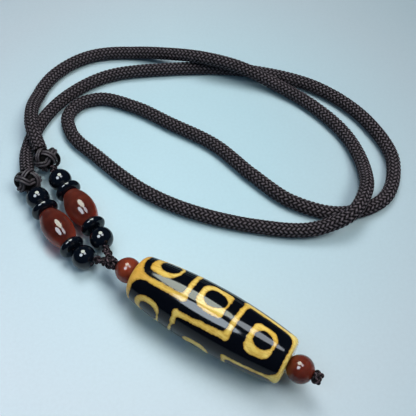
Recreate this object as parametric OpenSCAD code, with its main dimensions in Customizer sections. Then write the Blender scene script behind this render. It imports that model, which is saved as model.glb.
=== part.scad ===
// Dzi bead necklace: a braided neck cord lying in a double loop, two short strings of
// five beads, and a large etched agate bead between two red ones. The necklace lies on
// a table whose top is z = 0, and every size is in millimetres.

/* [Neck cord] */
// Diameter of the braided neck cord
cord_d = 5.2; // [4.6:0.1:5.3]

/* [Button knots] */
// Width of each woven button knot across its axis
button_d = 10.4; // [9.6:0.1:10.6]
// Height of each button knot along its axis
button_h = 7.2; // [6.6:0.1:7.4]

/* [Bead strings] */
// Diameter of the round black beads
black_round_d = 8; // [7.4:0.1:8.2]
// Diameter of the flat black rondelles above the carnelian barrels
upper_rondelle_d = 9.2; // [8:0.1:9.6]
// Diameter of the flat black rondelles below the carnelian barrels
lower_rondelle_d = 8.6; // [8:0.1:9.6]
// Thickness of the rondelles
rondelle_h = 3.2; // [2.6:0.1:3.4]
// Diameter of the carnelian barrels at their middle
barrel_d = 10; // [9:0.1:10.2]
// Diameter of the carnelian barrels at their ends
barrel_end_d = 5.8; // [4.6:0.1:6.6]
// Length of the right carnelian barrel
right_barrel_len = 14; // [12:0.1:14.4]
// Length of the left carnelian barrel
left_barrel_len = 14.6; // [12:0.1:14.8]
// Diameter of the hole through the string beads
string_bore_d = 1.6; // [1.4:0.1:2]
// Diameter of the thread through the string beads
string_thread_d = 1; // [0.8:0.1:1.2]

/* [Dzi pendant] */
// Diameter of the dzi bead at its middle
dzi_d = 19; // [17:0.1:19.4]
// Diameter of the dzi bead at its ends
dzi_end_d = 14.2; // [13:0.1:16]
// Length of the dzi bead
dzi_len = 52.6; // [48:0.1:53]
// Radius of the rounded edge at each end of the dzi bead
dzi_edge_r = 1.8; // [0.8:0.1:2.2]
// Diameter of the hole through the dzi bead
dzi_bore_d = 2.2; // [1.8:0.1:2.8]
// Diameter of the worn hollow round each mouth of that hole
dzi_dish_d = 4.4; // [3.6:0.1:4.8]
// Diameter of the round red beads
red_round_d = 8.2; // [7.6:0.1:8.4]
// Diameter of the thread through the pendant
pendant_thread_d = 1.2; // [1:0.1:1.4]

/* [Small knots] */
// Width of the knot that joins the two strings
joint_d = 4.8; // [4.2:0.1:5]
// Length of the knot that joins the two strings
joint_h = 3.8; // [3.2:0.1:4]
// Width of the small knots on the thread
small_knot_d = 2.8; // [2.4:0.1:3]
// Width of the knot at the pendant's end
end_knot_d = 4.6; // [4:0.1:5]
// Length of the knot at the pendant's end
end_knot_h = 3.2; // [2.8:0.1:3.6]

/* [Hidden] */
$fn = 96;

// Colours of the materials
cord_colour = [0.17, 0.13, 0.13];
knot_colour = [0.22, 0.17, 0.18];
black_colour = [0.05, 0.05, 0.06];
carnelian_colour = [0.52, 0.17, 0.09];
dzi_colour = [0.78, 0.6, 0.22];

// Small gap between pieces that touch on the real necklace
gap = 0.25;
// How far the thread's ends stay inside the outermost beads
thread_set_back = 0.1;

// Route of the neck cord's centre line, from the right button knot round both loops
// to the left button knot
route = [
    [-43, 43, 6.9], [-47.4, 53, 8.3], [-49.5, 62.6, 6.6], [-50, 72.2, 3],
    [-45.2, 85.5, 2.6], [-33, 96.4, 2.6], [-15, 99.3, 2.6], [0, 95.8, 5.3],
    [17, 89.9, 8.1], [30, 85.8, 7.3], [44, 80, 3.8], [60, 67.3, 2.6],
    [71, 50.8, 2.6], [73.8, 35.6, 4.2], [71.9, 24.8, 7.4], [65.5, 14.8, 7.7],
    [56.1, 11.6, 4.6], [32, 13.5, 2.6], [-3, 26.6, 2.6], [-22.6, 43, 2.6],
    [-34.6, 55.9, 2.6], [-36.5, 63, 2.6], [-33.2, 69.5, 2.6], [-26.4, 72.5, 2.6],
    [-11, 68.3, 2.6], [3, 59.8, 2.6], [20, 49.1, 2.6], [34, 34.6, 2.6],
    [47, 23.3, 2.6], [64, 18.4, 2.6], [79.2, 24.5, 2.6], [85.3, 40.9, 2.6],
    [79.1, 60.1, 2.6], [62.2, 78.1, 2.6], [36, 88.1, 2.6], [2, 89.6, 2.6],
    [-26, 84, 2.6], [-42.4, 68.4, 2.6], [-49.1, 44.2, 3], [-46.7, 34, 5]
];
cord_sides = 10;

// Where each button knot sits, its turn about the upright axis and its tilt
button_right = [-40.3, 39.3, 6.4];
button_right_turn = -60;
button_right_tilt = -10;
button_left = [-45.65, 29.9, 5.3];
button_left_turn = -75;
button_left_tilt = 4;

// Outline of a button knot: share of its radius, share of its half height
button_outline = [
    [0.3, 0.86], [0.52, 0.9], [0.66, 1], [0.82, 0.9], [0.93, 0.68], [0.99, 0.36],
    [1, 0],
    [0.99, -0.36], [0.93, -0.68], [0.82, -0.9], [0.66, -1], [0.52, -0.9], [0.3, -0.86]
];
button_columns = 56;
button_bights = 4;
button_leads = 3;
band_half_w = 1.6;
band_height = 0.7;

// The two strings of beads: where each carnelian barrel sits and how it is turned,
// the turn of the beads above and below it, and how far the last left round swings
// off the line of its rondelle
string_z = barrel_d / 2;
barrel_right = [-26, 19, string_z];
barrel_right_turn = -55;
upper_right_turn = -53.5;
lower_right_turn = -56;
barrel_left = [-32.66, 10.9, string_z];
barrel_left_turn = -53;
upper_left_turn = -57;
lower_left_turn = -49;
lower_left_swing = 8;

// The pendant lies in one line: its middle, its turn and its height
pendant_at = [18.2, -23.1, dzi_d / 2];
pendant_turn = -31.7;
red_seat = sqrt(pow(red_round_d / 2, 2) - pow(dzi_dish_d / 2, 2)) + 0.15;
red_offset = dzi_len / 2 + red_seat;
joint_at = [-12.8, -4.2, 8.3];
// How far the end knot sits off that line
end_knot_shift = [-0.2, 0.05, 1];

// Knotted bit of thread between the right button knot and its first bead
neck_knot_at = [-37.5, 35.5, 5.6];
neck_knot_turn = -56;
neck_knot_h = 2.7;
// Its outline: share of its radius, share of its half height
neck_knot_outline = [
    [0.56, 1], [0.8, 0.88], [0.94, 0.52], [1, 0.16], [1, -0.16], [0.94, -0.52],
    [0.8, -0.88], [0.56, -1]
];
neck_knot_sides = 24;

// Curve through the route: chord lengths, directions and points between them
last_point = len(route) - 1;
function chord(i) = norm(route[i + 1] - route[i]);
function step_way(i) = (route[i + 1] - route[i]) / chord(i);
function way(i) =
    i == 0 ? step_way(0)
    : i == last_point ? step_way(last_point - 1)
    : (step_way(i - 1) * chord(i) + step_way(i) * chord(i - 1)) / (chord(i - 1) + chord(i));
function between(i, t) =
    (2 * t * t * t - 3 * t * t + 1) * route[i]
    + (t * t * t - 2 * t * t + t) * chord(i) * way(i)
    + (3 * t * t - 2 * t * t * t) * route[i + 1]
    + (t * t * t - t * t) * chord(i) * way(i + 1);
function on_table(p) = [p.x, p.y, max(p.z, cord_d / 2)];
cord_line = concat(
    [for (i = [0 : last_point - 1], t = [0, 0.5]) on_table(between(i, t))],
    [route[last_point]]);

// Ring of a tube about one point of its line, square to the line there
function unit(v) = v / norm(v);
function line_way(line, i) =
    unit(line[min(i + 1, len(line) - 1)] - line[max(i - 1, 0)]);
function ring(line, i, r, sides) =
    let (w = line_way(line, i), side = unit(cross(w, [0, 0, 1])), up = cross(side, w))
    [for (k = [0 : sides - 1])
        line[i] + r * (cos(360 * k / sides) * up + sin(360 * k / sides) * side)];

// Closed solid from rings of points that run from one end to the other
module ringed_solid(rings) {
    rows = len(rings);
    sides = len(rings[0]);
    points = [for (row = rings) for (p = row) p];
    faces = concat(
        [[for (k = [0 : sides - 1]) k]],
        [for (i = [0 : rows - 2], k = [0 : sides - 1])
            let (n = (k + 1) % sides)
            [i * sides + k, (i + 1) * sides + k, (i + 1) * sides + n, i * sides + n]],
        [[for (k = [sides - 1 : -1 : 0]) (rows - 1) * sides + k]]);
    polyhedron(points = points, faces = faces);
}

module tube(line, r, sides) {
    ringed_solid([for (i = [0 : len(line) - 1]) ring(line, i, r, sides)]);
}

// Turns a solid made along Z so that its axis points along a turn and a tilt
module lay_along(at, turn, tilt = 0) {
    translate(at) rotate([0, 0, turn]) rotate([0, 90 - tilt, 0]) children();
}

function heading(turn) = [cos(turn), sin(turn), 0];

// Radius and centre of the arc that gives a bead its swelling side
function arc_r(d, end_d, h) =
    (pow(h / 2, 2) + pow((d - end_d) / 2, 2)) / (d - end_d);

// Solid bead with an arched side and flat ends, along Z
module arched_bead(d, end_d, h) {
    r = arc_r(d, end_d, h);
    rotate_extrude() {
        intersection() {
            translate([d / 2 - r, 0]) circle(r = r, $fn = 256);
            translate([0, -h / 2]) square([d, h]);
        }
        translate([0, -h / 2]) square([end_d / 2, h]);
    }
}

module drilled(d, h) {
    difference() {
        children();
        cylinder(d = d, h = h + 2, center = true);
    }
}

// Height of the woven bands of a button knot over its body, at an angle and a height
function band(angle, z) =
    max([for (t = [0 : 3 : 357])
        let (
            turn = (angle - button_leads * t) % 360,
            short = turn > 180 ? turn - 360 : turn < -180 ? turn + 360 : turn,
            across = short * PI / 180 * button_d / 2,
            up = z - button_h * 0.36 * cos(button_bights * t),
            away = sqrt(across * across + up * up) / band_half_w
        )
        away < 1 ? (1 - away * away) * (0.75 + 0.25 * sin(2 * button_bights * t)) : 0
    ]);

module button_knot() {
    core_r = button_d / 2 - band_height;
    rings = [
        for (row = button_outline)
            [for (k = [0 : button_columns - 1])
                let (
                    angle = 360 * k / button_columns,
                    z = row[1] * button_h / 2,
                    r = row[0] < 0.6 ? row[0] * core_r
                        : row[0] * core_r + band_height * band(angle, z) * row[0]
                )
                [r * cos(angle), r * sin(angle), -z]]
    ];
    ringed_solid(rings);
}

// Beads of one string, counted along it from its barrel
function rondelle_at(barrel, len, barrel_turn, turn, side) =
    barrel + side * (len / 2 * heading(barrel_turn)
        + (gap + rondelle_h / 2) * heading(turn));
function round_at(barrel, len, barrel_turn, turn, side, swing = 0) =
    rondelle_at(barrel, len, barrel_turn, turn, side)
    + side * (rondelle_h / 2 + gap + black_round_d / 2) * heading(turn + swing);

module black_round(at, turn) {
    color(black_colour) lay_along(at, turn)
        drilled(string_bore_d, black_round_d) sphere(d = black_round_d);
}

module rondelle(at, turn, d) {
    color(black_colour) lay_along(at, turn)
        drilled(string_bore_d, rondelle_h) arched_bead(d, d * 0.66, rondelle_h);
}

module carnelian_barrel(at, turn, len) {
    color(carnelian_colour) lay_along(at, turn)
        drilled(string_bore_d, len) arched_bead(barrel_d, barrel_end_d, len);
}

// Thread of one string: it bends only between beads, and its ends stop in the knots
module string_thread(barrel, len, barrel_turn, upper_turn, lower_turn, swing = 0) {
    upper = round_at(barrel, len, barrel_turn, upper_turn, -1);
    lower = round_at(barrel, len, barrel_turn, lower_turn, 1, swing);
    reach = black_round_d / 2 - thread_set_back;
    half = len / 2 + gap / 2;
    color(cord_colour)
        tube([upper - reach * heading(upper_turn),
              barrel - half * heading(barrel_turn),
              barrel + half * heading(barrel_turn),
              rondelle_at(barrel, len, barrel_turn, lower_turn, 1)
                  + (rondelle_h + gap) / 2 * heading(lower_turn),
              lower + reach * heading(lower_turn + swing)],
             string_thread_d / 2, 8);
}

module neck_cord() {
    color(cord_colour) tube(cord_line, cord_d / 2, cord_sides);
}

module button_knot_right() {
    color(knot_colour)
        lay_along(button_right, button_right_turn, button_right_tilt) button_knot();
}

module button_knot_left() {
    color(knot_colour)
        lay_along(button_left, button_left_turn, button_left_tilt) button_knot();
}

// The beads of the right string, from the button knot down
module upper_round_right() {
    black_round(round_at(barrel_right, right_barrel_len, barrel_right_turn,
                         upper_right_turn, -1), upper_right_turn);
}

module upper_rondelle_right() {
    rondelle(rondelle_at(barrel_right, right_barrel_len, barrel_right_turn,
                         upper_right_turn, -1), upper_right_turn, upper_rondelle_d);
}

module carnelian_barrel_right() {
    carnelian_barrel(barrel_right, barrel_right_turn, right_barrel_len);
}

module lower_rondelle_right() {
    rondelle(rondelle_at(barrel_right, right_barrel_len, barrel_right_turn,
                         lower_right_turn, 1), lower_right_turn, lower_rondelle_d);
}

lower_right = round_at(barrel_right, right_barrel_len, barrel_right_turn, lower_right_turn, 1);
module lower_round_right() {
    black_round(lower_right, lower_right_turn);
}

module string_thread_right() {
    string_thread(barrel_right, right_barrel_len, barrel_right_turn, upper_right_turn,
                  lower_right_turn);
}

// The beads of the left string, from the button knot down
module upper_round_left() {
    black_round(round_at(barrel_left, left_barrel_len, barrel_left_turn,
                         upper_left_turn, -1), upper_left_turn);
}

module upper_rondelle_left() {
    rondelle(rondelle_at(barrel_left, left_barrel_len, barrel_left_turn,
                         upper_left_turn, -1), upper_left_turn, upper_rondelle_d);
}

module carnelian_barrel_left() {
    carnelian_barrel(barrel_left, barrel_left_turn, left_barrel_len);
}

module lower_rondelle_left() {
    rondelle(rondelle_at(barrel_left, left_barrel_len, barrel_left_turn,
                         lower_left_turn, 1), lower_left_turn, lower_rondelle_d);
}

lower_left = round_at(barrel_left, left_barrel_len, barrel_left_turn, lower_left_turn, 1,
                      lower_left_swing);
module lower_round_left() {
    black_round(lower_left, lower_left_turn + lower_left_swing);
}

module string_thread_left() {
    string_thread(barrel_left, left_barrel_len, barrel_left_turn, upper_left_turn,
                  lower_left_turn, lower_left_swing);
}

// Knotted bit of thread that shows between the right button knot and its first bead
module neck_thread_knot() {
    color(knot_colour) lay_along(neck_knot_at, neck_knot_turn)
        ringed_solid([
            for (row = neck_knot_outline)
                [for (k = [0 : neck_knot_sides - 1])
                    let (angle = 360 * k / neck_knot_sides, r = row[0] * small_knot_d / 2)
                    [r * cos(angle), r * sin(angle), -row[1] * neck_knot_h / 2]]
        ]);
}

// The threads of both strings are knotted down to one knot above the pendant
module thread_leg(from, count) {
    away = joint_at - from;
    step = small_knot_d * 0.9;
    for (k = [0 : count - 1])
        translate(from + unit(away) * (black_round_d / 2 + gap + small_knot_d / 2 + k * step))
            sphere(d = small_knot_d);
}

module joint_knot() {
    color(knot_colour) {
        lay_along(joint_at, pendant_turn) arched_bead(joint_d, joint_d * 0.6, joint_h);
        thread_leg(lower_right, 3);
        thread_leg(lower_left, 2);
    }
}

module red_round(offset) {
    color(carnelian_colour)
        lay_along(pendant_at + offset * heading(pendant_turn), pendant_turn)
            drilled(string_bore_d, red_round_d) sphere(d = red_round_d);
}

module red_round_upper() {
    red_round(-red_offset);
}

module red_round_lower() {
    red_round(red_offset);
}

// Outline of half the dzi bead: an arched side that runs into a rounded edge
module dzi_outline() {
    r = arc_r(dzi_d, dzi_end_d, dzi_len);
    middle = dzi_d / 2 - r;
    edge_y = dzi_len / 2 - dzi_edge_r;
    edge_x = middle + sqrt(pow(r - dzi_edge_r, 2) - edge_y * edge_y);
    meet_y = edge_y * r / (r - dzi_edge_r);
    intersection() {
        translate([middle, 0]) circle(r = r, $fn = 256);
        translate([0, -meet_y]) square([dzi_d, 2 * meet_y]);
    }
    for (side = [-1, 1]) translate([edge_x, side * edge_y]) circle(r = dzi_edge_r);
    translate([0, -dzi_len / 2]) square([edge_x, dzi_len]);
}

module dzi_bead() {
    dish_h = (dzi_dish_d - dzi_bore_d) / 2;
    color(dzi_colour) lay_along(pendant_at, pendant_turn)
        difference() {
            rotate_extrude() dzi_outline();
            cylinder(d = dzi_bore_d, h = dzi_len + 2, center = true);
            for (side = [0, 180]) rotate([side, 0, 0]) translate([0, 0, dzi_len / 2 - dish_h])
                cylinder(d1 = dzi_bore_d, d2 = dzi_dish_d + 0.4, h = dish_h + 0.2);
        }
}

// The pendant's thread runs from the joint knot to the end knot
module pendant_thread() {
    color(cord_colour)
        lay_along(pendant_at, pendant_turn)
            cylinder(d = pendant_thread_d,
                     h = 2 * (red_offset + red_round_d / 2 - thread_set_back), center = true);
}

module end_knot() {
    far = red_offset + red_round_d / 2 + gap + end_knot_h / 2;
    at = pendant_at + far * heading(pendant_turn) + end_knot_shift;
    color(knot_colour) lay_along(at, pendant_turn)
        arched_bead(end_knot_d, end_knot_d * 0.6, end_knot_h);
}

neck_cord();
button_knot_right();
button_knot_left();
neck_thread_knot();
upper_round_right();
upper_rondelle_right();
carnelian_barrel_right();
lower_rondelle_right();
lower_round_right();
upper_round_left();
upper_rondelle_left();
carnelian_barrel_left();
lower_rondelle_left();
lower_round_left();
string_thread_right();
string_thread_left();
joint_knot();
red_round_upper();
dzi_bead();
red_round_lower();
pendant_thread();
end_knot();
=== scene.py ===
import math

import bpy
import numpy as np
from mathutils import Euler, Matrix, Vector


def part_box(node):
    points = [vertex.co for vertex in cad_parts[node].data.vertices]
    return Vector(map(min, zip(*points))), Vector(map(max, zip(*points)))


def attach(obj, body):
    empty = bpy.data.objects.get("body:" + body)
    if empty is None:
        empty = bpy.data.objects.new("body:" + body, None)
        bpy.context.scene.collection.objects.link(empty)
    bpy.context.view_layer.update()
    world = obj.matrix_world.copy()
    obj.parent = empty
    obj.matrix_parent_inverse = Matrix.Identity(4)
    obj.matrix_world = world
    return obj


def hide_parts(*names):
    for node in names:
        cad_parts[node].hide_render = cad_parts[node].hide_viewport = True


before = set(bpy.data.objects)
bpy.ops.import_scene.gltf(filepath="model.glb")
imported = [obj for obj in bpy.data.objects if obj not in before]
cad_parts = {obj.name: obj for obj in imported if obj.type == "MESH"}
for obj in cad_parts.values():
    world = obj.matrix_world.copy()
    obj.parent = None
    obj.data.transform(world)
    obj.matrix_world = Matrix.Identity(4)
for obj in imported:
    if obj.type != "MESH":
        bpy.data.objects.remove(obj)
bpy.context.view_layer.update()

# Sizes of the pieces are in millimetres. The camera, the lamps, the shades of the table and the
# stones, and the cord's route and length are in metres, as Blender has them.
MM = 0.001
TURN = 2 * math.pi


# Camera and light

LENS_MM = 51.92
CAMERA_AT = (0.0176, -0.09574, 0.17515)
CAMERA_ELEVATION = 56
CAMERA_NEAR = 0.01

LAMP_HEIGHT = 0.5
LAMPS_AIM = (0.018, 0.02, 0)
# Each lamp is two: a key lamp lights the surfaces, and a glint lamp is what polished stone
# mirrors. A glint's share is of its brightness, whatever its radius.
LAMPS = [
    {"key_at": (0.036, 0.232), "key": (1.0, 0.96, 0.97), "key_share": 1.45,
     "glint_at": (-0.036, 0.222), "glint_radius": 0.15, "glint": (0.92, 1.0, 0.88),
     "glint_share": 0.95},
    {"key_at": (-0.19, -0.14), "key": (0.68, 0.86, 1.0), "key_share": 0.34,
     "glint_at": (-0.15, -0.085), "glint_radius": 0.125, "glint": (0.78, 0.9, 1.0),
     "glint_share": 0.95},
    {"key_at": (0.29, -0.08), "key": (1.0, 0.98, 0.93), "key_share": 1.6,
     "glint_at": (0.125, 0.055), "glint_radius": 0.095, "glint": (0.85, 0.92, 1.0),
     "glint_share": 0.7},
]
KEY_RADIUS = 0.15
KEY_WATTS = 1.1
GLINT_WATTS_PER_AREA = 213.0
# The mirrored lamps hang this much lower, because a ray stops at the first of two equal lamps
GLINT_DROP = 0.01
ROOM_COLOUR = (0.33, 0.58, 1.0, 1)
ROOM_STRENGTH = 0.065


def add_camera():
    data = bpy.data.cameras.new("camera")
    data.lens = LENS_MM
    data.clip_start = CAMERA_NEAR
    camera = bpy.data.objects.new("camera", data)
    camera.location = CAMERA_AT
    camera.rotation_euler = (math.radians(90 - CAMERA_ELEVATION), 0, 0)
    bpy.context.scene.collection.objects.link(camera)
    bpy.context.scene.camera = camera


def add_lamp(name, at, height, radius, tint, watts):
    data = bpy.data.lights.new(name, "AREA")
    data.shape = "DISK"
    data.size = 2 * radius
    data.color = tint
    data.energy = watts
    lamp = bpy.data.objects.new(name, data)
    lamp.location = (*at, height)
    aim = Vector(LAMPS_AIM) - lamp.location
    lamp.rotation_euler = aim.to_track_quat("-Z", "Y").to_euler()
    bpy.context.scene.collection.objects.link(lamp)
    return lamp


def add_lamps():
    for number, lamp in enumerate(LAMPS):
        key = add_lamp(f"key_{number}", lamp["key_at"], LAMP_HEIGHT, KEY_RADIUS, lamp["key"],
                       KEY_WATTS * lamp["key_share"])
        key.visible_glossy = False
        radius = lamp["glint_radius"]
        watts = GLINT_WATTS_PER_AREA * radius**2 * lamp["glint_share"]
        glint = add_lamp(f"glint_{number}", lamp["glint_at"], LAMP_HEIGHT - GLINT_DROP, radius,
                         lamp["glint"], watts)
        glint.visible_diffuse = False


def add_room():
    world = bpy.data.worlds.new("room")
    world.use_nodes = True
    background = world.node_tree.nodes["Background"]
    background.inputs["Color"].default_value = ROOM_COLOUR
    background.inputs["Strength"].default_value = ROOM_STRENGTH
    bpy.context.scene.world = world
    bpy.context.scene.view_settings.view_transform = "Standard"


# Materials: each is one Principled shader with the nodes that feed it

# Most values of a noise lie in the first range, and a polished stone's wear in the second
NOISE_RANGE = (0.3, 0.7)
WEAR_RANGE = (0.35, 0.7)
# How far the noises of two pieces are moved apart, for each metre between the pieces
MOVED_APART = 37.0
# A Mix node's colours go by number, because their names repeat
MIX_FIRST = 6
MIX_SECOND = 7
MIX_RESULT = 2


def new_material(name, **sockets):
    material = bpy.data.materials.new(name)
    material.use_nodes = True
    for socket, value in sockets.items():
        principled(material).inputs[socket.replace("_", " ")].default_value = value
    return material


def principled(material):
    return material.node_tree.nodes["Principled BSDF"]


def wire(material, value, socket):
    if isinstance(value, bpy.types.NodeSocket):
        material.node_tree.links.new(value, socket)
    else:
        socket.default_value = value


# A node with its inputs by name or number; an input is a number or another node's output
def add_node(material, kind, inputs=(), **settings):
    made = material.node_tree.nodes.new("ShaderNode" + kind)
    for setting, value in settings.items():
        setattr(made, setting, value)
    for socket, value in dict(inputs).items():
        wire(material, value, made.inputs[socket])
    return made


def calc(material, operation, *values):
    return add_node(material, "Math", enumerate(values), operation=operation).outputs[0]


def vector_calc(material, operation, inputs, output="Vector"):
    return add_node(material, "VectorMath", inputs, operation=operation).outputs[output]


def part_of(material, vector, axis):
    return add_node(material, "SeparateXYZ", {0: vector}).outputs[axis]


def noise(material, where, scale, detail=3.0, roughness=0.5):
    inputs = {"Vector": where, "Scale": scale, "Detail": detail, "Roughness": roughness}
    return add_node(material, "TexNoise", inputs).outputs["Fac"]


# Places on a piece in its own axes
def piece_place(material):
    return add_node(material, "TexCoord").outputs["Object"]


# The same, moved apart from piece to piece so that no two look alike
def own_place(material):
    middle = add_node(material, "ObjectInfo").outputs["Location"]
    apart = vector_calc(material, "SCALE", {0: middle, "Scale": MOVED_APART})
    return vector_calc(material, "ADD", {0: piece_place(material), 1: apart})


def remap(material, value, low, high, new_low=0.0, new_high=1.0):
    inputs = {
        "Value": value, "From Min": low, "From Max": high,
        "To Min": new_low, "To Max": new_high,
    }
    return add_node(material, "MapRange", inputs).outputs["Result"]


def mix_colour(material, share, first, second, blend="MIX"):
    inputs = {0: share, MIX_FIRST: first, MIX_SECOND: second}
    made = add_node(material, "Mix", inputs, data_type="RGBA", blend_type=blend)
    return made.outputs[MIX_RESULT]


def set_input(material, socket, value):
    wire(material, value, principled(material).inputs[socket])


def set_bump(material, height, depth_mm):
    inputs = {"Height": height, "Distance": depth_mm * MM, "Strength": 1.0}
    set_input(material, "Normal", add_node(material, "Bump", inputs).outputs[0])


# Where a point is along a strand, in millimetres, and how far round it, from 0 to 1
def strand_place(material):
    uv = add_node(material, "UVMap", uv_map="strand").outputs[0]
    return part_of(material, uv, "X"), part_of(material, uv, "Y")


# A wave that winds round a strand, from 0 to 1
def winding(material, along, around, starts, pitch_mm):
    turns = calc(material, "MULTIPLY", along, 1 / pitch_mm)
    turns = calc(material, "ADD", turns, calc(material, "MULTIPLY", around, starts))
    wave = calc(material, "SINE", calc(material, "MULTIPLY", turns, TURN))
    return calc(material, "MULTIPLY_ADD", wave, 0.5, 0.5)


# How high a point lies on its strand: 1 on the crest, and 0 where the cosine of the way round
# from it is low or less
# The materials darken a strand's colour by this, as painted shade on its sides
def crest(material, around, low):
    height = calc(material, "COSINE", calc(material, "MULTIPLY", around, TURN))
    return remap(material, height, low, 1.0)


# Dark and light colour of the yarn, of the core inside it and of the satin cord
YARN_COLOURS = (0.002, 0.0018, 0.0024, 1), (0.19, 0.163, 0.187, 1)
CORE_SHADE_COLOURS = (0.002, 0.0015, 0.0015, 1), (0.006, 0.0045, 0.005, 1)
SATIN_COLOURS = (0.003, 0.0025, 0.0035, 1), (0.118, 0.102, 0.116, 1)
# Dark colour of the thread, and the two browns of its light parts
THREAD_DARK = (0.003, 0.002, 0.003, 1)
THREAD_BROWNS = (0.26, 0.16, 0.175, 1), (0.21, 0.155, 0.2, 1)


# Yarn: its tone is painted shade, brightest where it lies on top and dark where it dives under
# another
def yarn_material():
    made = new_material("braided_yarn", Roughness=0.55, Specular_IOR_Level=0.05)
    along, around = strand_place(made)
    filaments = winding(made, along, around, starts=7.0, pitch_mm=5.2)
    fuzz = noise(made, piece_place(made), 5200.0, detail=2.0)
    shade = remap(made, fuzz, *NOISE_RANGE, 0.5, 1.0)
    shade = calc(made, "MULTIPLY_ADD", filaments, 0.25, shade)
    tone = add_node(made, "Attribute", attribute_name="tone").outputs["Fac"]
    # Painted shade: the yarn's colour darkens towards its sides
    tone = calc(made, "MULTIPLY", tone, crest(made, around, 0.45))
    shade = calc(made, "MULTIPLY", shade, tone)
    set_input(made, "Base Color", mix_colour(made, shade, *YARN_COLOURS))
    set_input(made, "Roughness", remap(made, fuzz, *NOISE_RANGE, 0.45, 0.65))
    set_bump(made, calc(made, "MULTIPLY_ADD", fuzz, 0.7, filaments), 0.03)
    return made


# The core's near-black colour is painted shade, seen in the gaps between yarns and inside the
# knots
def core_material():
    made = new_material("cord_core", Roughness=0.85, Specular_IOR_Level=0.05)
    speck = noise(made, piece_place(made), 900.0)
    set_input(made, "Base Color", mix_colour(made, speck, *CORE_SHADE_COLOURS))
    set_bump(made, speck, 0.05)
    return made


# Satin cord of the button knots: filaments wound two ways over a smooth round strand, with
# painted shade
def satin_material():
    made = new_material("satin_cord", Roughness=0.4, Specular_IOR_Level=0.12)
    along, around = strand_place(made)
    one_way = winding(made, along, around, starts=4.0, pitch_mm=1.5)
    other_way = winding(made, along, around, starts=-4.0, pitch_mm=1.5)
    weave = calc(made, "MULTIPLY", one_way, other_way)
    fuzz = noise(made, piece_place(made), 3000.0, detail=2.0)
    shade = calc(made, "MULTIPLY_ADD", fuzz, 0.3, 0.45)
    shade = calc(made, "MULTIPLY_ADD", weave, 0.2, shade)
    # Painted shade: the strand's colour darkens towards its sides
    shade = calc(made, "MULTIPLY", shade, crest(made, around, 0.4))
    set_input(made, "Base Color", mix_colour(made, shade, *SATIN_COLOURS))
    set_input(made, "Roughness", remap(made, fuzz, *NOISE_RANGE, 0.34, 0.5))
    set_bump(made, calc(made, "MULTIPLY_ADD", fuzz, 0.5, weave), 0.03)
    return made


# Thin twisted thread of the small knots, rougher and redder than the satin cord, with painted
# shade
def thread_material():
    made = new_material("twisted_thread", Roughness=0.55, Specular_IOR_Level=0.08)
    along, around = strand_place(made)
    plies = winding(made, along, around, starts=3.0, pitch_mm=1.3)
    place = piece_place(made)
    fuzz = noise(made, place, 2600.0, roughness=0.6)
    patch = noise(made, place, 420.0, detail=2.0)
    shade = calc(made, "MULTIPLY", plies, remap(made, fuzz, 0.42, 0.62))
    # Painted shade: the thread's colour darkens towards its sides
    shade = calc(made, "MULTIPLY", shade, crest(made, around, 0.45))
    brown = mix_colour(made, patch, *THREAD_BROWNS)
    set_input(made, "Base Color", mix_colour(made, shade, THREAD_DARK, brown))
    set_bump(made, calc(made, "MULTIPLY_ADD", fuzz, 0.6, plies), 0.09)
    return made


# Deep and light colour of the black stones, the carnelian barrels and each round red bead
BLACKS = (0.0018, 0.003, 0.006, 1), (0.0034, 0.0056, 0.0105, 1)
BARREL_REDS = (0.05, 0.009, 0.0075, 1), (0.13, 0.027, 0.015, 1)
ROUND_REDS = {
    "upper": ((0.14, 0.021, 0.012, 1), (0.29, 0.057, 0.023, 1)),
    "lower": ((0.085, 0.014, 0.0095, 1), (0.175, 0.036, 0.019, 1)),
}
# The stones' undersides get a painted glow, for light gathered from the table, from the first
# height down
PAINTED_GLOW_HEIGHT = (0.0085, 0.0015)
RED_PAINTED_GLOW = (0.52, 0.075, 0.04, 1)
# How far the carnelian's bands stray along the bead, in metres, and their angle for each metre
BAND_WARP = 0.006
BAND_RATE = 2600.0


# Slow waves that polishing leaves on a stone
def add_waves(material, place):
    set_bump(material, noise(material, place, 90.0, detail=1.0), 0.02)


def black_stone_material():
    made = new_material("black_stone", Roughness=0.05, IOR=1.42)
    place = own_place(made)
    cloud = noise(made, place, 260.0, detail=4.0)
    wear = noise(made, place, 3000.0, detail=2.0)
    set_input(made, "Base Color", mix_colour(made, cloud, *BLACKS))
    set_input(made, "Roughness", remap(made, wear, *WEAR_RANGE, 0.03, 0.1))
    add_waves(made, place)
    return made


# Carnelian: clear red stone with orange clouds and faint bands along the bead, and a painted glow
# underneath
def red_stone_material(name, deep, light):
    made = new_material(name, Roughness=0.06, IOR=1.36, Subsurface_Weight=0.45,
                        Subsurface_Radius=(1.0, 0.22, 0.1), Subsurface_Scale=3.0 * MM)
    place = own_place(made)
    cloud = noise(made, place, 110.0)
    grain = noise(made, place, 620.0, detail=5.0, roughness=0.65)
    along = part_of(made, piece_place(made), "Z")
    warp = calc(made, "MULTIPLY_ADD", cloud, BAND_WARP, along)
    bands = calc(made, "SINE", calc(made, "MULTIPLY", warp, BAND_RATE))
    share = calc(made, "MULTIPLY_ADD", bands, 0.06, remap(made, cloud, 0.32, 0.68))
    share = calc(made, "MULTIPLY_ADD", grain, 0.3, calc(made, "ADD", share, -0.15))
    stone = mix_colour(made, share, deep, light)
    # Painted glow: the colour turns a brighter red towards the underside, standing in for light
    # from the table
    height = part_of(made, add_node(made, "NewGeometry").outputs["Position"], "Z")
    painted_glow = remap(made, height, *PAINTED_GLOW_HEIGHT)
    set_input(made, "Base Color", mix_colour(made, painted_glow, stone, RED_PAINTED_GLOW))
    add_waves(made, place)
    return made


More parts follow.
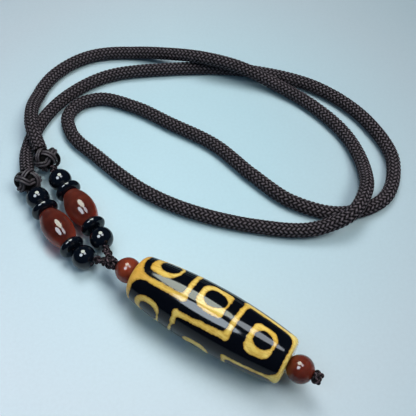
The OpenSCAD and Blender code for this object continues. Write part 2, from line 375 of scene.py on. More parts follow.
# Dzi bead: its blacks, its yellows, the orange of its left end and where that begins and is
# full, and the browns of the strokes in the lines and of the lines' rims
DZI_BLACKS = (0.0012, 0.0018, 0.0034, 1), (0.003, 0.004, 0.007, 1)
DZI_YELLOWS = (0.77, 0.52, 0.082, 1), (0.94, 0.76, 0.22, 1)
DZI_ORANGE = (0.78, 0.36, 0.04, 1)
DZI_ORANGE_END = (-0.017, -0.026)
DZI_STROKE_BROWN = (0.56, 0.30, 0.035, 1)
DZI_RIM_BROWN = (0.48, 0.26, 0.035, 1)
# Scale of each noise that makes the lines' edges uneven, and its depth in millimetres
DZI_EDGE_NOISES = (1100.0, 0.6), (230.0, 0.7)
# The change from black to yellow is this wide on each side of an edge, in millimetres
DZI_EDGE_SOFT = 0.08


# The lines' yellow: orange at the left end, with brown strokes in it and brown at its rims
def dzi_yellow(made, place, cloud, etched):
    yellow = mix_colour(made, remap(made, cloud, *NOISE_RANGE), *DZI_YELLOWS)
    orange = remap(made, part_of(made, place, "Z"), *DZI_ORANGE_END, 0.0, 0.8)
    yellow = mix_colour(made, orange, yellow, DZI_ORANGE)
    drawn_out = vector_calc(made, "MULTIPLY", {0: place, 1: (1, 1, 0.3)})
    strokes = noise(made, drawn_out, 1300.0, detail=4.0, roughness=0.65)
    strokes = remap(made, strokes, 0.46, 0.68, 0.0, 0.7)
    yellow = mix_colour(made, strokes, yellow, DZI_STROKE_BROWN)
    rim = remap(made, etched, 0.05, 0.55, 0.9, 0.0)
    return mix_colour(made, rim, yellow, DZI_RIM_BROWN)


# Dzi stone: black agate with pale yellow lines etched into it, all under one polish
def dzi_material():
    made = new_material("dzi_stone", Roughness=0.08, IOR=1.3)
    place = piece_place(made)
    cloud = noise(made, place, 130.0)
    grain = noise(made, place, 1500.0)
    etched = add_node(made, "Attribute", attribute_name="etched").outputs["Fac"]
    for scale, depth in DZI_EDGE_NOISES:
        uneven = calc(made, "ADD", noise(made, place, scale, detail=2.0), -0.5)
        etched = calc(made, "MULTIPLY_ADD", uneven, depth, etched)
    inside = remap(made, etched, -DZI_EDGE_SOFT, DZI_EDGE_SOFT)
    yellow = dzi_yellow(made, place, cloud, etched)
    black = mix_colour(made, cloud, *DZI_BLACKS)
    set_input(made, "Base Color", mix_colour(made, inside, black, yellow))
    set_input(made, "Roughness", remap(made, grain, *WEAR_RANGE, 0.05, 0.12))
    set_bump(made, calc(made, "MULTIPLY_ADD", inside, 0.25, cloud), 0.03)
    return made


# Painted light and shade on the table, which is one plain colour:
# The table is brightest at its near left, bluer inside the cord's loops and darker to the right
PAINTED_LIGHT_SPOT = (-0.06, -0.05, 0)
PAINTED_LIGHT_REACH = 0.25
FLOOR_NEAR = (0.728, 0.866, 0.942, 1)
FLOOR_FAR = (0.42, 0.525, 0.568, 1)
LOOP_SPOT = (0.01, 0.049, 0)
LOOP_REACH = (0.03, 0.1)
LOOP_PAINTED_TINT = (0.88, 1.04, 1.05, 1)
RIGHT_REACH = (0, 0.14)
RIGHT_PAINTED_SHADE = (0.75, 0.78, 0.8, 1)
# Painted red light, as if let through the carnelian barrels, on the table beside their near lower
# sides
BARREL_SPOTS = (-0.033, 0.0068, 0), (-0.0258, 0.0141, 0)
BARREL_REACH = (0.001, 0.0055)
BARREL_PAINTED_LIGHT = (1.0, 0.6, 0.62, 1)
WHITE = (1, 1, 1, 1)
SPECK_SHADES = (0.985, 1.015)


def distance(material, place, spot):
    return vector_calc(material, "DISTANCE", {0: place, 1: spot}, "Value")


# A shade tinted by the first colour where the share is 0 and by the second where it is 1
def tinted(material, shade, share, first, second):
    tint = mix_colour(material, share, first, second)
    return mix_colour(material, 1.0, shade, tint, "MULTIPLY")


def floor_material():
    made = new_material("table_top", Roughness=0.55, Specular_IOR_Level=0.04)
    place = piece_place(made)
    # Painted light and shade: a bright pool at the near left, a bluer tint inside the loops and
    # shade to the right
    far = remap(made, distance(made, place, PAINTED_LIGHT_SPOT), 0, PAINTED_LIGHT_REACH)
    shade = mix_colour(made, far, FLOOR_NEAR, FLOOR_FAR)
    outside = remap(made, distance(made, place, LOOP_SPOT), *LOOP_REACH)
    shade = tinted(made, shade, outside, LOOP_PAINTED_TINT, WHITE)
    right = remap(made, part_of(made, place, "X"), *RIGHT_REACH)
    shade = tinted(made, shade, right, WHITE, RIGHT_PAINTED_SHADE)
    # Painted red light beside each barrel
    for spot in BARREL_SPOTS:
        outside = remap(made, distance(made, place, spot), *BARREL_REACH)
        shade = tinted(made, shade, outside, BARREL_PAINTED_LIGHT, WHITE)
    speck = remap(made, noise(made, place, 900.0), *NOISE_RANGE, *SPECK_SHADES)
    set_input(made, "Base Color", mix_colour(made, 1.0, shade, speck, "MULTIPLY"))
    return made


# Pieces: a mesh with its material, its body and the nodes that it stands for

def add_piece(name, mesh, material, replaced=(), place=None):
    mesh.materials.append(material)
    mesh.polygons.foreach_set("use_smooth", np.ones(len(mesh.polygons), bool))
    piece = bpy.data.objects.new(name, mesh)
    if place is not None:
        piece.matrix_world = place
    bpy.context.scene.collection.objects.link(piece)
    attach(piece, "root")
    if replaced:
        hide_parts(*replaced)
    return piece


# Blender's matrix for a piece made along Z that lies flat, its axis at a turn about the upright
def laid_along(at, turn):
    lean = Euler((0, math.radians(90), math.radians(turn)), "XYZ")
    return Matrix.Translation(Vector(at) * MM) @ lean.to_matrix().to_4x4()


# The direction at a turn about the upright and a tilt above level, both in degrees
def direction(turn, tilt=0.0):
    turn, tilt = math.radians(turn), math.radians(tilt)
    flat = np.array([math.cos(turn), math.sin(turn), 0.0]) * math.cos(tilt)
    return flat + np.array([0, 0, math.sin(tilt)])


def unit(v):
    return v / np.linalg.norm(v, axis=-1, keepdims=True)


# A mesh of several closed tubes. Each is (rings, along, looped): rings has every ring's points,
# along is how far each ring is down its tube, and a looped tube joins its last ring to its first.
def tube_mesh(name, tubes, tones=None):
    points, quads, ends, places = [], [], [], []
    start = 0
    for rings, along, looped in tubes:
        rows, sides, _ = rings.shape
        points.append(rings.reshape(-1, 3))
        last = rows if looped else rows - 1
        i, k = np.meshgrid(np.arange(last), np.arange(sides), indexing="ij")
        i, k = i.ravel(), k.ravel()
        next_i, next_k = (i + 1) % rows, (k + 1) % sides
        corners = [(i, k), (i, next_k), (next_i, next_k), (next_i, k)]
        quads.append(np.stack([start + a * sides + b for a, b in corners], 1))
        length = np.append(along, 2 * along[-1] - along[-2])
        near, far = length[i], length[i + 1]
        left, right = k / sides, (k + 1) / sides
        places.append(np.stack([near, left, near, right, far, right, far, left], 1))
        if not looped:
            ends.append(start + np.arange(sides)[::-1])
            ends.append(start + (rows - 1) * sides + np.arange(sides))
        start += rows * sides
    return build_mesh(name, np.concatenate(points), np.concatenate(quads), ends,
                      np.concatenate(places), tones)


# Gives each point of a mesh a number that its material reads by the name
def store(mesh, name, values):
    attribute = mesh.attributes.new(name, "FLOAT", "POINT")
    attribute.data.foreach_set("value", values.astype(np.float32))


def build_mesh(name, points, quads, ends, places, tones):
    mesh = bpy.data.meshes.new(name)
    sizes = [4] * len(quads) + [len(end) for end in ends]
    corners = np.concatenate([quads.ravel()] + list(ends)).astype(np.int32)
    mesh.vertices.add(len(points))
    mesh.vertices.foreach_set("co", (points * MM).astype(np.float32).ravel())
    mesh.loops.add(len(corners))
    mesh.loops.foreach_set("vertex_index", corners)
    mesh.polygons.add(len(sizes))
    firsts = np.concatenate([[0], np.cumsum(sizes)[:-1]]).astype(np.int32)
    mesh.polygons.foreach_set("loop_start", firsts)
    mesh.update(calc_edges=True)
    uv = mesh.uv_layers.new(name="strand")
    spots = np.zeros((len(corners), 2), np.float32)
    spots[: 4 * len(quads)] = places.reshape(-1, 2)
    uv.data.foreach_set("uv", spots.ravel())
    if tones is not None:
        store(mesh, "tone", tones)
    mesh.validate()
    return mesh


# Rings of an oval section round a line, thin along the outward direction and wide across it
def oval_rings(line, outward, way, half_thick, half_wide, sides):
    across = unit(np.cross(way, outward))
    outward = np.cross(across, way)
    angles = np.arange(sides) * TURN / sides
    return (
        line[:, None]
        + half_thick * np.cos(angles)[None, :, None] * outward[:, None]
        + half_wide * np.sin(angles)[None, :, None] * across[:, None]
    )


# The direction of a line at each of its points
def ways(line, looped):
    if looped:
        return unit(np.roll(line, -1, 0) - np.roll(line, 1, 0))
    return unit(np.gradient(line, axis=0))


# How far each point of a line is along it
def lengths(line):
    steps = np.linalg.norm(np.diff(line, axis=0), axis=1)
    return np.concatenate([[0], np.cumsum(steps)])


# Neck cord: the route's points are the same as the CAD part's, in metres

CORD_D = 5.2
ROUTE = [
    (-0.043, 0.043, 0.0069), (-0.0474, 0.053, 0.0083), (-0.0495, 0.0626, 0.0066),
    (-0.05, 0.0722, 0.003), (-0.0452, 0.0855, 0.0026), (-0.033, 0.0964, 0.0026),
    (-0.015, 0.0993, 0.0026), (0, 0.0958, 0.0053), (0.017, 0.0899, 0.0081),
    (0.03, 0.0858, 0.0073), (0.044, 0.08, 0.0038), (0.06, 0.0673, 0.0026),
    (0.071, 0.0508, 0.0026), (0.0738, 0.0356, 0.0042), (0.0719, 0.0248, 0.0074),
    (0.0655, 0.0148, 0.0077), (0.0561, 0.0116, 0.0046), (0.032, 0.0135, 0.0026),
    (-0.003, 0.0266, 0.0026), (-0.0226, 0.043, 0.0026), (-0.0346, 0.0559, 0.0026),
    (-0.0365, 0.063, 0.0026), (-0.0332, 0.0695, 0.0026), (-0.0264, 0.0725, 0.0026),
    (-0.011, 0.0683, 0.0026), (0.003, 0.0598, 0.0026), (0.02, 0.0491, 0.0026),
    (0.034, 0.0346, 0.0026), (0.047, 0.0233, 0.0026), (0.064, 0.0184, 0.0026),
    (0.0792, 0.0245, 0.0026), (0.0853, 0.0409, 0.0026), (0.0791, 0.0601, 0.0026),
    (0.0622, 0.0781, 0.0026), (0.036, 0.0881, 0.0026), (0.002, 0.0896, 0.0026),
    (-0.026, 0.084, 0.0026), (-0.0424, 0.0684, 0.0026), (-0.0491, 0.0442, 0.003),
    (-0.0467, 0.034, 0.005),
]

# Braid: half of its yarns wind each way, and each passes over two and under two
YARNS_EACH_WAY = 12
YARN_PITCH = 1.65
YARN_RADIUS = 2.04
YARN_LIFT = 0.26
YARN_HALF_THICK = 0.3
# Half width of a yarn where it dives under and where it lies on top
YARN_HALF_WIDE = (0.34, 0.5)
YARN_SIDES = 6
YARN_STEPS_PER_WEAVE = 8
YARNS_PER_PIECE = 6
YARN_SEED = 4
# Range of a yarn's tone where it lies on top, and how soon painted shade darkens it away from
# there
TOP_TONE = (0.75, 1.0)
UNDER_SHADE_POWER = 2.8
CORE_RADIUS = 1.85
CORE_SIDES = 16
PATH_STEP = 2.0


# The same smooth curve through the route as the CAD part's, kept on the table
def route_curve(steps_between=60):
    route = np.array(ROUTE) / MM
    chords = np.linalg.norm(np.diff(route, axis=0), axis=1)[:, None]
    steps = np.diff(route, axis=0) / chords
    inner = (steps[:-1] * chords[1:] + steps[1:] * chords[:-1]) / (chords[:-1] + chords[1:])
    way = np.concatenate([steps[:1], inner, steps[-1:]])
    t = np.linspace(0, 1, steps_between, endpoint=False)[:, None, None]
    curve = (
        (2 * t**3 - 3 * t**2 + 1) * route[:-1] + (t**3 - 2 * t**2 + t) * chords * way[:-1]
        + (3 * t**2 - 2 * t**3) * route[1:] + (t**3 - t**2) * chords * way[1:]
    )
    curve = np.concatenate([curve.transpose(1, 0, 2).reshape(-1, 3), route[-1:]])
    curve[:, 2] = np.maximum(curve[:, 2], CORD_D / 2)
    return curve


# Points at even steps along a line, both of its ends among them
def evenly(line, step):
    along = lengths(line)
    at = np.linspace(0, along[-1], round(along[-1] / step) + 1)
    return np.stack([np.interp(at, along, line[:, axis]) for axis in range(3)], 1)


# At each point of the cord, the directions along it, to its side and out of its top
def cord_frame(line):
    way = ways(line, False)
    side = unit(np.cross(way, [0, 0, 1]))
    return way, side, np.cross(side, way)


# One yarn's rings, and its crown: 1 at the middle of each stretch on top and 0 where it dives
# under. hand is 1 or -1 for the way that it winds.
def yarn_rings(line, side, up, number, hand):
    along = lengths(line)
    lay = YARN_PITCH * YARNS_EACH_WAY
    angle = TURN * (hand * along / lay + number / YARNS_EACH_WAY)
    over = hand * np.cos(YARNS_EACH_WAY / 2 * angle - math.pi / 4)
    crown = np.maximum(over, 0)
    outward = np.cos(angle)[:, None] * up + np.sin(angle)[:, None] * side
    yarn = line + (YARN_RADIUS + YARN_LIFT * over)[:, None] * outward
    narrow, wide = YARN_HALF_WIDE
    half_wide = (narrow + (wide - narrow) * crown)[:, None, None]
    rings = oval_rings(yarn, outward, ways(yarn, False), YARN_HALF_THICK, half_wide, YARN_SIDES)
    return (rings, along, False), crown


# The yarns, some to a piece, each with a tone of its own on top and painted shade where it dives
# under
def add_yarns(line, look):
    _, side, up = cord_frame(line)
    hands = [(number, hand) for hand in (1, -1) for number in range(YARNS_EACH_WAY)]
    rng = np.random.default_rng(YARN_SEED)
    pieces = []
    for first in range(0, len(hands), YARNS_PER_PIECE):
        group = [yarn_rings(line, side, up, *one) for one in hands[first:first + YARNS_PER_PIECE]]
        tubes = [tube for tube, _ in group]
        tones = np.concatenate([
            np.repeat(rng.uniform(*TOP_TONE) * crown**UNDER_SHADE_POWER, YARN_SIDES)
            for _, crown in group
        ])
        name = f"neck_cord_yarns_{first // YARNS_PER_PIECE + 1}"
        mesh = tube_mesh(name, tubes, tones)
        pieces.append(add_piece(name, mesh, look))
    return pieces


def add_cord_core(line, look):
    line = evenly(line, PATH_STEP)
    way, _, up = cord_frame(line)
    rings = oval_rings(line, up, way, CORE_RADIUS, CORE_RADIUS, CORE_SIDES)
    mesh = tube_mesh("neck_cord_core", [(rings, lengths(line), False)])
    return add_piece("neck_cord_core", mesh, look)


def add_neck_cord(yarn_look, core_look):
    line = evenly(route_curve(), 2 * YARN_PITCH / YARN_STEPS_PER_WEAVE)
    pieces = add_yarns(line, yarn_look)
    core = add_cord_core(line, core_look)
    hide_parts("neck_cord")


# Beads: each is turned about its own axis from a profile of (radius, height) points

ROUND_D = 8.0
RONDELLE_D = {"upper": 9.2, "lower": 8.6}
RONDELLE_SWELL = 2.4
RONDELLE_H = 3.2
BARREL_D = 10.0
BARREL_END_D = 5.8
BARREL_H = {"right": 14.0, "left": 14.6}
RED_D = 8.2
STRING_BORE_R = 0.8
MOUTH_CUT = 0.3
BARREL_CUT = 0.7
BEAD_STEP = 0.25
BEAD_SIDES = 96

# How each part of a string is turned about the upright axis, and its last round bead by itself
STRINGS = {
    "right": {"upper": -53.5, "barrel": -55.0, "lower": -56.0, "last": -56.0},
    "left": {"upper": -57.0, "barrel": -53.0, "lower": -49.0, "last": -41.0},
}
PENDANT_TURN = -31.7


def middle_of(node):
    low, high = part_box(node)
    return np.array((low + high) / 2) / MM


# Rounds one corner of a profile: it leaves the straight lines at a distance cut from it
def rounded(before, corner, after, cut, count=7):
    before, corner, after = (np.array(spot, float) for spot in (before, corner, after))
    start = corner + cut * unit(before - corner)
    end = corner + cut * unit(after - corner)
    t = np.linspace(0, 1, count)[:, None]
    return (1 - t) ** 2 * start + 2 * t * (1 - t) * corner + t**2 * end


# Profile of a bead whose side is an arc about (middle, 0). corners run from the arc's upper end
# inwards to the bore, each (radius, height, cut), and the lower half mirrors the upper.
def bead_profile(arc_r, middle, corners, step=BEAD_STEP):
    radius, height, cut = corners[0]
    reach = math.atan2(height, radius - middle) - cut / arc_r
    angles = np.linspace(-reach, reach, round(2 * reach * arc_r / step) + 1)
    side = np.stack([middle + arc_r * np.cos(angles), arc_r * np.sin(angles)], 1)
    spots = [side[-1], *[corner[:2] for corner in corners], (corners[-1][0], 0)]
    top = np.concatenate([
        rounded(spots[i], spots[i + 1], spots[i + 2], corners[i][2])
        for i in range(len(corners))
    ])
    return np.concatenate([side[1:-1], top, top[::-1] * (1, -1)])


def ball_profile(d, bore_r):
    height = math.sqrt((d / 2) ** 2 - bore_r**2)
    return bead_profile(d / 2, 0, [(bore_r, height, MOUTH_CUT)])


# Radius of the arc on which a bead swells from its end diameter to its middle one
def arc_radius(d, end_d, h):
    return ((h / 2) ** 2 + ((d - end_d) / 2) ** 2) / (d - end_d)


def arched_profile(d, end_d, h, bore_r, cut):
    arc_r = arc_radius(d, end_d, h)
    corners = [(end_d / 2, h / 2, cut), (bore_r, h / 2, MOUTH_CUT)]
    return bead_profile(arc_r, d / 2 - arc_r, corners)


# A flat bead whose side is half an oval that reaches inwards by swell
def lens_profile(d, swell, h, bore_r, count=33):
    angles = np.linspace(-math.pi / 2, math.pi / 2, count)
    side = np.stack([d / 2 + swell * (np.cos(angles) - 1), h / 2 * np.sin(angles)], 1)
    mouth = rounded(side[-1], (bore_r, h / 2), (bore_r, 0), MOUTH_CUT)
    return np.concatenate([side, mouth, mouth[::-1] * (1, -1)])


def turned_rings(profile, sides):
    angles = np.arange(sides) * TURN / sides
    radius, height = profile[:, :1], profile[:, 1:]
    flat = np.ones(sides)
    return np.stack([radius * np.cos(angles), radius * np.sin(angles), height * flat], 2)


def turned_mesh(name, profile, sides=BEAD_SIDES):
    steps = np.linalg.norm(np.roll(profile, -1, 0) - profile, axis=1)
    along = np.concatenate([[0], np.cumsum(steps)[:-1]])
    return tube_mesh(name, [(turned_rings(profile, sides), along, True)])


def add_bead(node, profile, turn, look):
    name = node + "_stone"
    place = laid_along(middle_of(node), turn)
    add_piece(name, turned_mesh(name, profile), look, [node], place)


def add_strings(black, red):
    ball = ball_profile(ROUND_D, STRING_BORE_R)
    for side, turns in STRINGS.items():
        barrel = arched_profile(BARREL_D, BARREL_END_D, BARREL_H[side], STRING_BORE_R,
                                BARREL_CUT)
        add_bead(f"carnelian_barrel_{side}", barrel, turns["barrel"], red)
        add_bead(f"upper_round_{side}", ball, turns["upper"], black)
        add_bead(f"lower_round_{side}", ball, turns["last"], black)
        for end, wide in RONDELLE_D.items():
            rondelle = lens_profile(wide, RONDELLE_SWELL, RONDELLE_H, STRING_BORE_R)
            add_bead(f"{end}_rondelle_{side}", rondelle, turns[end], black)


# Dzi bead and the red beads at its ends

DZI_D = 19.0
DZI_END_D = 14.2
DZI_H = 52.6
DZI_EDGE_CUT = 1.9
DZI_DISH_R = 2.4
DZI_DISH_CUT = 0.4
DZI_BORE_R = 1.1
DZI_DISH_DEPTH = 1.1
DZI_SIDES = 240
DZI_STEP = 0.28
DZI_MEAN_R = 9.1

# Etched pattern. Along is in millimetres from the bead's middle; round is in degrees from its
# top towards the near side. Nine eyes stand in three rows, and a stepped line winds between them.
# Eye: its middle, half size and the radius of its left and right corners, then its hole's
# middle, half size and how much the hole narrows towards the right
EYES = [
    ((-17.2, -35), (4.85, 5.0), (2.8, 4.2), (-16.5, -36), (3.25, 2.95), 0.0),
    ((0.2, -13.5), (4.7, 4.7), (3.2, 1.4), (0.85, -13.5), (3.55, 2.8), 0.5),
    ((17.6, 11.5), (4.05, 5.0), (2.2, 2.9), (18.0, 8.5), (2.95, 2.7), 0.15),
    ((-17.2, 80), (4.6, 5.1), (4.2, 3.2), (-16.6, 80), (3.3, 3.0), 0.0),
    ((0.6, 109), (4.4, 5.0), (2.4, 3.4), (0.6, 111), (3.0, 2.8), 0.2),
    ((17.5, 132), (4.4, 4.9), (3.0, 2.4), (17.8, 130), (2.9, 2.7), 0.1),
    ((-17.0, 202), (4.7, 4.9), (3.6, 2.8), (-16.8, 201), (3.1, 2.8), 0.1),
    ((0.3, 228), (4.7, 5.1), (2.6, 3.6), (0.4, 228), (3.2, 2.9), 0.3),
    ((17.6, 252), (4.4, 4.9), (2.8, 3.2), (17.8, 251), (2.9, 2.7), 0.0),
]
HOLE_CORNER = 2.6
# Line: its corners as (along, round) with the half width of the stretch that ends there
LINES = [
    [(27, -46, 0), (9.0, -46, 1.0), (8.3, 36.2, 0.8), (-7.6, 43.5, 0.92), (-7.7, 62, 0.64),
     (-9.9, 132, 0.5), (-27, 134, 1.0)],
    [(27, -172, 0), (9.0, -172, 0.95), (9.0, -77, 0.8), (-7.8, -77, 0.95), (-7.6, 14.5, 0.8),
     (-27, 15.5, 0.95)],
    [(27, 77, 0), (9.9, 77, 0.76), (9.6, 163, 0.7), (-8.0, 163, 0.9), (-8.0, 253, 0.9),
     (-27, 253, 1.0)],
]
LEFT_CAP = -24.1
RIGHT_CAP = 25.3
LINE_FILLET = 1.3
CAP_FILLET = 4.4


# How far round one place is from another, in millimetres on the bead's surface
def round_gap(place, other):
    degrees = (place - other + 180) % 360 - 180
    return np.radians(degrees) * DZI_MEAN_R


# Each of these is how deep a point lies inside a shape, in millimetres, and below 0 outside it
def inside_box(along, across, half_long, half_wide, corner):
    x = np.abs(along) - half_long + corner
    y = np.abs(across) - half_wide + corner
    outside = np.hypot(np.maximum(x, 0), np.maximum(y, 0))
    return corner - outside - np.minimum(np.maximum(x, y), 0)


def inside_band(along, place, start, end):
    long_way = end[0] - start[0]
    round_way = math.radians(end[1] - start[1]) * DZI_MEAN_R
    x = along - (start[0] + end[0]) / 2
    y = round_gap(place, (start[1] + end[1]) / 2)
    share = np.clip((x * long_way + y * round_way) / (long_way**2 + round_way**2), -0.5, 0.5)
    return end[2] - np.hypot(x - share * long_way, y - share * round_way)


# The depth inside either of two shapes, with a fillet where their edges meet
def joined(first, second, fillet=LINE_FILLET):
    blend = np.maximum(fillet - np.abs(first - second), 0) / fillet
    return np.maximum(first, second) + blend**2 * fillet / 4


def etched_depth(along, place):
    stretches = [pair for line in LINES for pair in zip(line, line[1:])]
    depth = inside_band(along, place, *stretches[0])
    for stretch in stretches[1:]:
        depth = joined(depth, inside_band(along, place, *stretch))
    depth = joined(depth, np.maximum(LEFT_CAP - along, along - RIGHT_CAP), CAP_FILLET)
    for middle, half, corners, hole_middle, hole_half, narrowing in EYES:
        x, y = along - middle[0], round_gap(place, middle[1])
        eye = inside_box(x, y, *half, np.where(x < 0, *corners))
        x, y = along - hole_middle[0], round_gap(place, hole_middle[1])
        y = y * (1 + narrowing * np.maximum(x / hole_half[0], 0))
        hole = inside_box(x, y, *hole_half, HOLE_CORNER)
        depth = np.maximum(depth, np.minimum(eye, -hole))
    return depth


# Stores how deep each point of the turned bead lies inside the etched lines
def add_etching(mesh, profile):
    place = np.arange(DZI_SIDES) * 360 / DZI_SIDES - 180
    along = np.repeat(profile[:, 1], DZI_SIDES)
    store(mesh, "etched", etched_depth(along, np.tile(place, len(profile))))


def add_dzi_bead():
    arc_r = arc_radius(DZI_D, DZI_END_D, DZI_H)
    top = DZI_H / 2
    corners = [
        (DZI_END_D / 2, top, DZI_EDGE_CUT), (DZI_DISH_R, top, DZI_DISH_CUT),
        (DZI_BORE_R, top - DZI_DISH_DEPTH, MOUTH_CUT),
    ]
    profile = bead_profile(arc_r, DZI_D / 2 - arc_r, corners, DZI_STEP)
    mesh = turned_mesh("dzi_bead_stone", profile, DZI_SIDES)
    add_etching(mesh, profile)
    matrix = laid_along(middle_of("dzi_bead"), PENDANT_TURN)
    add_piece("dzi_bead_stone", mesh, dzi_material(), ["dzi_bead"], matrix)


def add_red_beads():
    ball = ball_profile(RED_D, STRING_BORE_R)
    for end, reds in ROUND_REDS.items():
        red = red_stone_material(f"red_stone_{end}", *reds)
        add_bead(f"red_round_{end}", ball, PENDANT_TURN, red)


# Knots: strands that wind round an axis, over and under each other

# A knot's line goes round leads times and up and down bights times, to pole degrees above and
# below the middle, and rises and sinks lift_waves times so that it passes over and under
# itself. tuck is how far the line lies inside the knot's side, in strand radii, and core is the
# size of the ball inside it as a share of the line's.
BUTTON_WEAVE = {
    "leads": 3, "bights": 4, "pole": 58, "lift": 0.5, "lift_waves": 8,
    "strand_r": 0.54, "uneven": 0.06, "count": 480,
}
SMALL_WEAVE = {
    "leads": 2, "bights": 3, "pole": 48, "lift": 0.28, "lift_waves": 3,
    "strand_r": 0.47, "uneven": 0.06, "count": 120, "tuck": 1.3, "core": 1.0,
}
BIG_WEAVE = {
    "leads": 3, "bights": 4, "pole": 52, "lift": 0.3, "lift_waves": 8,
    "strand_r": 0.55, "uneven": 0.09, "count": 240, "tuck": 1.5, "core": 0.95,
}
STRAND_SIDES = 12
# Angle from a ball's axis to the edge of the small flat at each of its ends, in radians
BALL_FLAT = 0.04

BUTTONS = {
    "right": {"turn": -60, "tilt": -10, "spin": 20, "seed": 1},
    "left": {"turn": -75, "tilt": 4, "spin": 70, "seed": 2},
}
BUTTON_R = 4.15
BUTTON_HALF_H = 3.0
BUTTON_CORE = 0.9
PAIR_GAP = 1.12

SMALL_KNOTS_SEED = 7
SMALL_KNOT_D = 2.8
LEG_KNOTS = 3
LEG_GAP = 0.25
LEG_STEP = {"right": 2.5, "left": 2.0}
# How each leg's first knot is turned about the leg, and each next one more than the last
LEG_SPIN = 10
LEG_SPIN_STEP = 47
NECK_KNOT_TURN = -56
NECK_KNOT_SPIN = 30
JOINT_AT = (-12.8, -4.2, 8.3)
JOINT_D = 4.8
JOINT_H = 3.8
JOINT_SPIN = 25
END_KNOT_D = 4.3
END_KNOT_H = 3.0
END_KNOT_SPIN = 10
# The end knot's strands are pulled this far against the bead
END_KNOT_PULL = 0.6
THREAD_R = 0.6
# A straight thread from a bead to a knot starts this far back, inside the bead's mouth
THREAD_BACK = 0.5


# Points made about +Z and the origin, with +Z turned to a way and a spin about it, in degrees
def turned_to(points, way, at, spin):
    z = unit(way)
    x = unit(np.cross((0, 0, 1), z))
    y = np.cross(z, x)
    c, s = math.cos(math.radians(spin)), math.sin(math.radians(spin))
    axes = np.stack([c * x + s * y, c * y - s * x, z])
    return points @ axes + at


def moved(tubes, way, at, spin):
    return [(turned_to(rings, way, at, spin), along, looped) for rings, along, looped in tubes]


# A little unevenness that repeats round a closed line, as in a knot pulled tight by hand
def unevenness(count, size, rng):
    t = np.arange(count) / count * TURN
    waves = [rng.normal(size=(3, 1)) * np.sin(n * t + rng.uniform(0, TURN, (3, 1)))
             for n in (2, 3, 5)]
    return size * np.sum(waves, 0).T


# Rings of each strand of a woven knot about +Z, one strand at each gap from the knot's line
def woven_tubes(weave, radius, half_h, gaps, rng):
    t = np.arange(weave["count"]) / weave["count"] * TURN
    polar = math.pi / 2 - math.radians(weave["pole"]) * np.cos(weave["bights"] * t)
    angle = weave["leads"] * t
    outward = np.stack([np.sin(polar) * np.cos(angle), np.sin(polar) * np.sin(angle),
                        np.cos(polar)], 1)
    line = outward * (radius, radius, half_h) + unevenness(weave["count"], weave["uneven"], rng)
    line = line + weave["lift"] * np.sin(weave["lift_waves"] * t)[:, None] * outward
    across = unit(np.cross(ways(line, True), outward))
    thick = weave["strand_r"]
    tubes = []
    for gap in gaps:
        strand = line + gap * across
        rings = oval_rings(strand, outward, ways(strand, True), thick, thick, STRAND_SIDES)
        tubes.append((rings, lengths(strand), True))
    return tubes


def ball_tube(radius, half_h, rows=24, sides=32):
    polar = np.linspace(BALL_FLAT, math.pi - BALL_FLAT, rows)[::-1]
    profile = np.stack([radius * np.sin(polar), half_h * np.cos(polar)], 1)
    return turned_rings(profile, sides), half_h * (math.pi - polar), False


def straight_thread(start, end, rows=6):
    line = np.linspace(start, end, rows)
    way = ways(line, False)
    outward = unit(np.cross(way, (0, 0, 1)))
    rings = oval_rings(line, outward, way, THREAD_R, THREAD_R, STRAND_SIDES)
    return rings, lengths(line), False


def add_knot(name, tubes, look, replaced=()):
    add_piece(name, tube_mesh(name, tubes), look, replaced)


# Button knots: a doubled strand woven round a ball painted dark as the shade inside the knot
def add_button_knots(look, core_look):
    gaps = (-PAIR_GAP / 2, PAIR_GAP / 2)
    for side, lie in BUTTONS.items():
        node = f"button_knot_{side}"
        place = direction(lie["turn"], lie["tilt"]), middle_of(node), lie["spin"]
        rng = np.random.default_rng(lie["seed"])
        strands = woven_tubes(BUTTON_WEAVE, BUTTON_R, BUTTON_HALF_H, gaps, rng)
        add_knot(node + "_woven", moved(strands, *place), look, [node])
        core = [ball_tube(BUTTON_CORE * BUTTON_R, BUTTON_CORE * BUTTON_HALF_H)]
        add_knot(node + "_core", moved(core, *place), core_look)


# A tight knot of one thread over a small ball
def thread_knot(weave, d, h, way, at, spin, rng):
    radius = d / 2 - weave["strand_r"] * weave["tuck"]
    half_h = h / 2 - weave["strand_r"]
    tubes = woven_tubes(weave, radius, half_h, (0,), rng)
    tubes.append(ball_tube(radius * weave["core"], half_h * weave["core"], 12, 16))
    return moved(tubes, way, at, spin)


def small_knot(way, at, spin, rng):
    return thread_knot(SMALL_WEAVE, SMALL_KNOT_D, SMALL_KNOT_D, way, at, spin, rng)


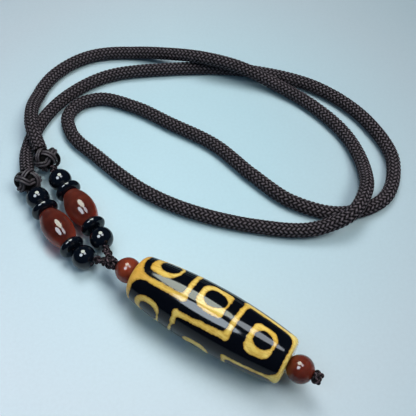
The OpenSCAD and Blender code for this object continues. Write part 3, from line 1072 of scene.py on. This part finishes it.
# The thread and the row of small knots from each string's last bead to where both meet
def leg_tubes(joint, rng):
    tubes = []
    first = ROUND_D / 2 + LEG_GAP
    for side, step in LEG_STEP.items():
        bead = middle_of(f"lower_round_{side}")
        way = unit(joint - bead)
        tubes.append(straight_thread(bead + way * (first - THREAD_BACK), joint))
        for k in range(LEG_KNOTS):
            at = bead + way * (first + SMALL_KNOT_D / 2 + k * step)
            tubes += small_knot(way, at, LEG_SPIN_STEP * k + LEG_SPIN, rng)
    return tubes


def add_small_knots(look):
    rng = np.random.default_rng(SMALL_KNOTS_SEED)
    joint = np.array(JOINT_AT)
    way = direction(PENDANT_TURN)
    tubes = thread_knot(BIG_WEAVE, JOINT_D, JOINT_H, way, joint, JOINT_SPIN, rng)
    add_knot("joint_knot_thread", tubes + leg_tubes(joint, rng), look, ["joint_knot"])
    at = middle_of("neck_thread_knot")
    tubes = small_knot(direction(NECK_KNOT_TURN), at, NECK_KNOT_SPIN, rng)
    add_knot("neck_thread_knot_tied", tubes, look, ["neck_thread_knot"])
    at = middle_of("end_knot") - END_KNOT_PULL * way
    tubes = thread_knot(BIG_WEAVE, END_KNOT_D, END_KNOT_H, way, at, END_KNOT_SPIN, rng)
    mouth = middle_of("red_round_lower") + (RED_D / 2 - THREAD_BACK) * way
    tubes.append(straight_thread(mouth, at))
    add_knot("end_knot_tied", tubes, look, ["end_knot"])


# Threads inside the beads stay as the CAD part made them and get the thread's look
def dress_threads(look):
    for name in ("string_thread_right", "string_thread_left", "pendant_thread"):
        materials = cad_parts[name].data.materials
        materials.clear()
        materials.append(look)


# Table

FLOOR_HALF = 1.5


def add_floor():
    mesh = bpy.data.meshes.new("table_top")
    corners = [(-FLOOR_HALF, -FLOOR_HALF, 0), (FLOOR_HALF, -FLOOR_HALF, 0),
               (FLOOR_HALF, FLOOR_HALF, 0), (-FLOOR_HALF, FLOOR_HALF, 0)]
    mesh.from_pydata(corners, [], [(0, 1, 2, 3)])
    mesh.materials.append(floor_material())
    floor = bpy.data.objects.new("table_top", mesh)
    bpy.context.scene.collection.objects.link(floor)


add_camera()
add_lamps()
add_room()
add_floor()
dark_core = core_material()
add_neck_cord(yarn_material(), dark_core)
add_strings(black_stone_material(), red_stone_material("carnelian", *BARREL_REDS))
add_red_beads()
add_dzi_bead()
add_button_knots(satin_material(), dark_core)
thread = thread_material()
add_small_knots(thread)
dress_threads(thread)
